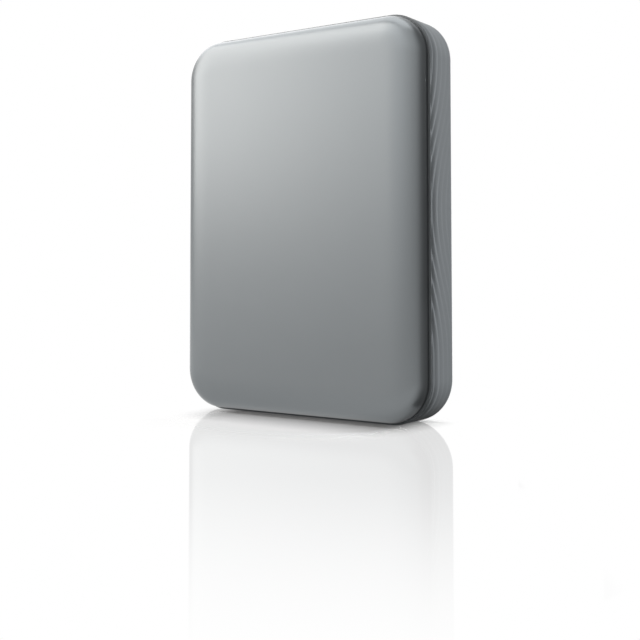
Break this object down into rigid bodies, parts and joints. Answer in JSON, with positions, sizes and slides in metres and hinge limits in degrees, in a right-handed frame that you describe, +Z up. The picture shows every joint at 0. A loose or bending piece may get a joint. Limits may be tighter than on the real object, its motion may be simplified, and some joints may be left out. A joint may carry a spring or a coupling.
{
  "type": "external solid state drive",
  "caption": "Portable solid state drive standing on its short end: a rounded slab case with a soft pillowed front, a side band of wave-shaped grip ribs and an oval port on top.",
  "frame": {"origin": "middle of the drive's box, on the surface that it stands on", "axes": "+X to the right seen from the front, +Y from the pillowed front to the back, +Z up its long side"},
  "size_m": [0.089, 0.0212, 0.12],
  "materials": {
    "cover_shell": "satin metallic grey",
    "grip_band": "fine matt dark grey",
    "foot_rubber": "matt black",
    "bumper_rubber": "matt charcoal",
    "module_metal": "bead-blasted",
    "board_laminate": "green solder mask",
    "chip_epoxy": "matt black epoxy",
    "pad_silicone": "soft grey-blue silicone",
    "connector_plastic": "black moulding",
    "coil_ferrite": "dark ferrite",
    "capacitor_ceramic": "tan ceramic",
    "port_steel": "drawn stainless steel",
    "contact_metal": "gold plated",
    "light_body": "white package with a clear lens",
    "pipe_clear": "clear, lightly frosted"
  },
  "bodies": {
    "root": {"front_cover": "cover_shell", "rear_housing": "grip_band", "rear_foot_1": "foot_rubber", "rear_foot_2": "foot_rubber", "rear_foot_3": "foot_rubber", "rear_foot_4": "foot_rubber", "corner_bumper_1": "bumper_rubber", "corner_bumper_2": "bumper_rubber", "corner_bumper_3": "bumper_rubber", "corner_bumper_4": "bumper_rubber", "module_tray": "module_metal", "module_lid": "module_metal", "module_board": "board_laminate", "bridge_board": "board_laminate", "controller_chip": "chip_epoxy", "cache_chip": "chip_epoxy", "bridge_chip": "chip_epoxy", "flash_chip_1": "chip_epoxy", "flash_chip_2": "chip_epoxy", "flash_chip_3": "chip_epoxy", "flash_chip_4": "chip_epoxy", "thermal_pad": "pad_silicone", "module_plug": "connector_plastic", "bridge_socket": "connector_plastic", "port_tongue": "connector_plastic", "bridge_coil": "coil_ferrite", "bridge_capacitors": "capacitor_ceramic", "port_shell": "port_steel", "port_contacts": "contact_metal", "activity_light": "light_body", "light_pipe": "pipe_clear"}
  },
  "joints": []
}
